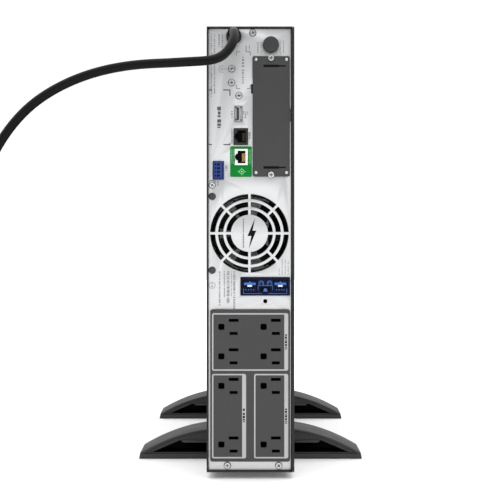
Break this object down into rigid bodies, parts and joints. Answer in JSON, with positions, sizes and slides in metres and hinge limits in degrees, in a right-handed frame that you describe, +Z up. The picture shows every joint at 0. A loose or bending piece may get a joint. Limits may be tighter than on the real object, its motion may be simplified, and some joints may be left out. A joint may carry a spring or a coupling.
{
  "type": "uninterruptible power supply",
  "caption": "Flat black uninterruptible power supply standing on edge in arched feet, with outlets, a fan grille and ports on its silver rear panel, a front display and a corded plug.",
  "frame": {"origin": "on the floor under the middle of the object's box, measured without its free cord, coil and plug", "axes": "+Z up, +Y from the rear panel to the front bezel, +X to the right as seen from the rear"},
  "size_m": [0.5148, 0.5759, 0.4384],
  "materials": {
    "case": "fine black powder coat",
    "panel": "satin silver-grey paint with dark printing",
    "outlet_plate": "fine-grained dark grey plastic with printed light grey frames",
    "slot_cover": "satin dark grey paint",
    "black_plastic": "moulded black plastic",
    "fan": "moulded black glass-filled plastic",
    "screw": "zinc-plated steel",
    "port_shell": "stamped plated steel with a dark tongue",
    "port_black": "black moulded jack with gilt contacts",
    "port_white": "white moulded jack with gilt contacts",
    "blue_connector": "blue moulded terminal block",
    "link_housing": "very dark navy moulded housing",
    "link_connector": "blue moulded battery connector",
    "rivet": "dark grey nylon push rivet",
    "bare_metal": "bare sheet and extruded metal",
    "board": "green solder-masked board",
    "winding": "varnished copper winding and steel core",
    "battery": "grey plastic battery cases",
    "bezel": "fine-grained black moulded plastic",
    "display": "piano-black moulded plastic",
    "display_window": "smoked clear window",
    "button": "soft-touch black key",
    "stand": "grained dark grey plastic",
    "cord": "black flexible jacket, satin",
    "plug": "black moulded plug with nickel blades"
  },
  "bodies": {
    "chassis": {"chassis_tray": "case", "side_cover": "case", "front_panel": "case", "battery_door": "case", "rear_panel": "panel", "port_plate": "panel", "outlet_panel": "outlet_plate", "fan_frame": "fan", "breaker_body": "black_plastic", "slot_cover": "slot_cover", "slot_screw_top": "screw", "slot_screw_bottom": "screw", "usb_port": "port_shell", "serial_port": "port_black", "network_port": "port_white", "epo_header": "blue_connector", "battery_link_housing": "link_housing", "battery_link_left": "link_connector", "battery_link_right": "link_connector", "panel_screw_top": "screw", "panel_screw_upper": "screw", "panel_screw_side": "screw", "panel_screw_lower_left": "screw", "panel_screw_lower_right": "screw", "ground_screw_1": "screw", "ground_screw_2": "screw", "push_rivet_1": "rivet", "push_rivet_2": "rivet", "card_cage": "bare_metal", "main_board": "board", "transformer": "winding", "heat_sink": "bare_metal", "battery_pack": "battery", "stand_rear_left": "stand", "stand_rear_right": "stand", "stand_front_left": "stand", "stand_front_right": "stand", "cord_gland": "cord", "power_cord": "cord", "power_cord_coil": "cord", "power_plug": "plug", "outlet_1": "black_plastic", "outlet_2": "black_plastic", "outlet_3": "black_plastic", "outlet_4": "black_plastic", "outlet_5": "black_plastic", "outlet_6": "black_plastic", "outlet_7": "black_plastic", "outlet_8": "black_plastic"},
    "fan": {"fan_rotor": "fan"},
    "breaker": {"breaker_button": "black_plastic"},
    "shutdown_plug": {"epo_plug": "blue_connector"},
    "bezel": {"front_bezel": "bezel"},
    "display": {"display_console": "display", "display_window": "display_window"},
    "power_key": {"power_button": "button"},
    "up_key": {"up_button": "button"},
    "down_key": {"down_button": "button"},
    "enter_key": {"enter_button": "button"},
    "escape_key": {"escape_button": "button"}
  },
  "joints": [
    {"name": "fan_spin", "type": "hinge", "parent": "chassis", "child": "fan", "pos_m": [-0.001, -0.2263, 0.238], "axis": [0, 1, 0], "continuous": true},
    {"name": "breaker_trip", "type": "slide", "parent": "chassis", "child": "breaker", "axis": [0, -1, 0], "range_m": [0, 0.004]},
    {"name": "shutdown_plug_pull", "type": "slide", "parent": "chassis", "child": "shutdown_plug", "axis": [0, -1, 0], "range_m": [0, 0.012]},
    {"name": "bezel_pull", "type": "slide", "parent": "chassis", "child": "bezel", "axis": [0, 1, 0], "range_m": [0, 0.04]},
    {"name": "display_turn", "type": "hinge", "parent": "bezel", "child": "display", "pos_m": [0, 0.2407, 0.388], "axis": [0, 1, 0], "range_deg": [0, 90]},
    {"name": "power_press", "type": "slide", "parent": "display", "child": "power_key", "axis": [0, -1, 0], "range_m": [0, 0.0009], "stiffness_N_per_m": 300},
    {"name": "up_press", "type": "slide", "parent": "display", "child": "up_key", "axis": [0, -1, 0], "range_m": [0, 0.0009], "stiffness_N_per_m": 300},
    {"name": "down_press", "type": "slide", "parent": "display", "child": "down_key", "axis": [0, -1, 0], "range_m": [0, 0.0009], "stiffness_N_per_m": 300},
    {"name": "enter_press", "type": "slide", "parent": "display", "child": "enter_key", "axis": [0, -1, 0], "range_m": [0, 0.0009], "stiffness_N_per_m": 300},
    {"name": "escape_press", "type": "slide", "parent": "display", "child": "escape_key", "axis": [0, -1, 0], "range_m": [0, 0.0009], "stiffness_N_per_m": 300}
  ]
}
